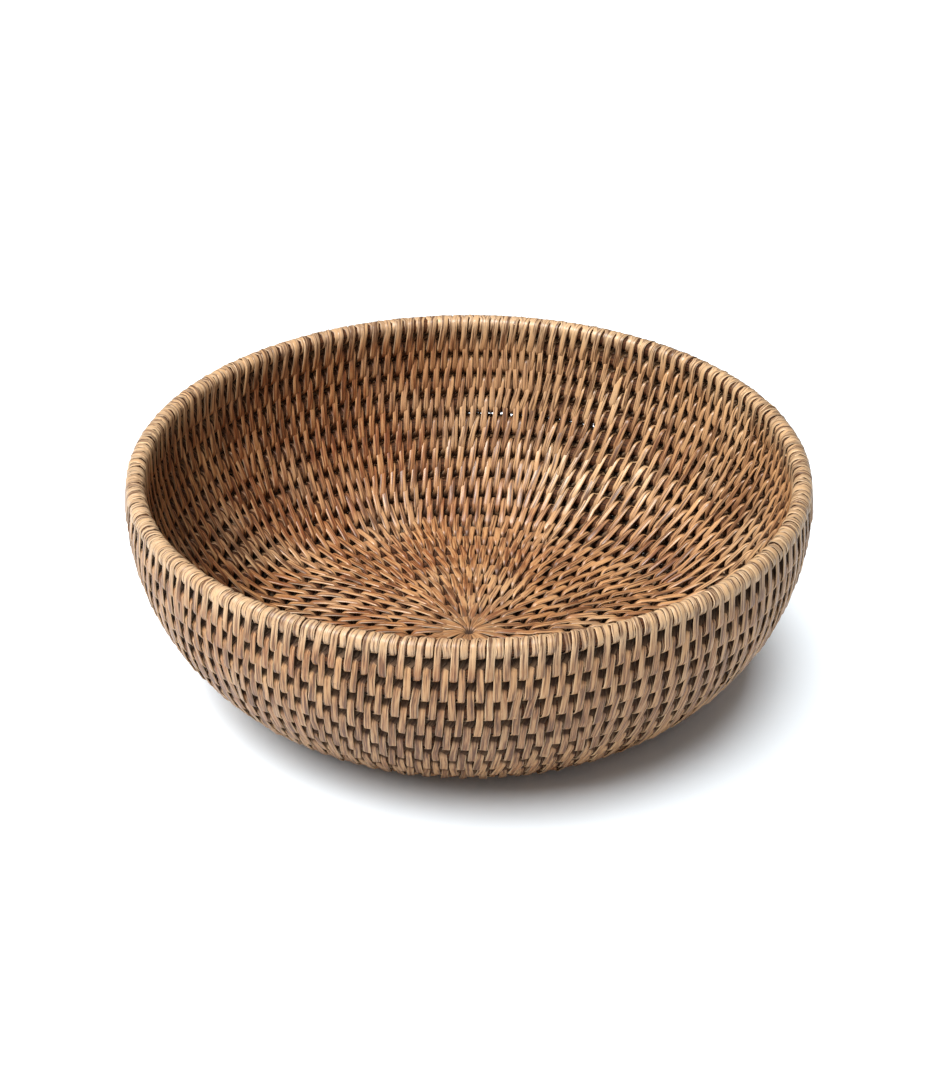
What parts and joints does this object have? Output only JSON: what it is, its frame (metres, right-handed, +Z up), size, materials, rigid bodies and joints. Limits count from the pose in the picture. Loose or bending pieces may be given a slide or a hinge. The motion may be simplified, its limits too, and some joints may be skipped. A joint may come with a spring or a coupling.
{
  "type": "woven fruit basket",
  "caption": "Round open fruit basket of level rattan hoops, each bound in split rattan peel and stitched to the next, with a flat floor and an upright rim.",
  "frame": {"origin": "centre of the flat underside, on the plane that the basket stands on", "axes": "+Z up along the basket's axis; it is round, so +X and +Y are free, and +X is to the right of a viewer who looks along +Y"},
  "size_m": [0.3, 0.3, 0.095],
  "materials": {
    "rattan_rod": "bare round rattan core, brown and matte, seen only in the gaps between stitches",
    "rattan_peel": "split rattan peel, light tan to honey brown, satin with fine lengthwise grain"
  },
  "bodies": {
    "root": {"floor_hoop_01": "rattan_rod", "floor_binding_01": "rattan_peel", "floor_hoop_02": "rattan_rod", "floor_binding_02": "rattan_peel", "floor_hoop_03": "rattan_rod", "floor_binding_03": "rattan_peel", "floor_hoop_04": "rattan_rod", "floor_binding_04": "rattan_peel", "floor_hoop_05": "rattan_rod", "floor_binding_05": "rattan_peel", "floor_hoop_06": "rattan_rod", "floor_binding_06": "rattan_peel", "floor_hoop_07": "rattan_rod", "floor_binding_07": "rattan_peel", "floor_hoop_08": "rattan_rod", "floor_binding_08": "rattan_peel", "floor_hoop_09": "rattan_rod", "floor_binding_09": "rattan_peel", "floor_hoop_10": "rattan_rod", "floor_binding_10": "rattan_peel", "floor_hoop_11": "rattan_rod", "floor_binding_11": "rattan_peel", "wall_hoop_01": "rattan_rod", "wall_binding_01": "rattan_peel", "wall_hoop_02": "rattan_rod", "wall_binding_02": "rattan_peel", "wall_hoop_03": "rattan_rod", "wall_binding_03": "rattan_peel", "wall_hoop_04": "rattan_rod", "wall_binding_04": "rattan_peel", "wall_hoop_05": "rattan_rod", "wall_binding_05": "rattan_peel", "wall_hoop_06": "rattan_rod", "wall_binding_06": "rattan_peel", "wall_hoop_07": "rattan_rod", "wall_binding_07": "rattan_peel", "wall_hoop_08": "rattan_rod", "wall_binding_08": "rattan_peel", "wall_hoop_09": "rattan_rod", "wall_binding_09": "rattan_peel", "wall_hoop_10": "rattan_rod", "wall_binding_10": "rattan_peel", "rim_hoop": "rattan_rod", "rim_binding": "rattan_peel"}
  },
  "joints": []
}
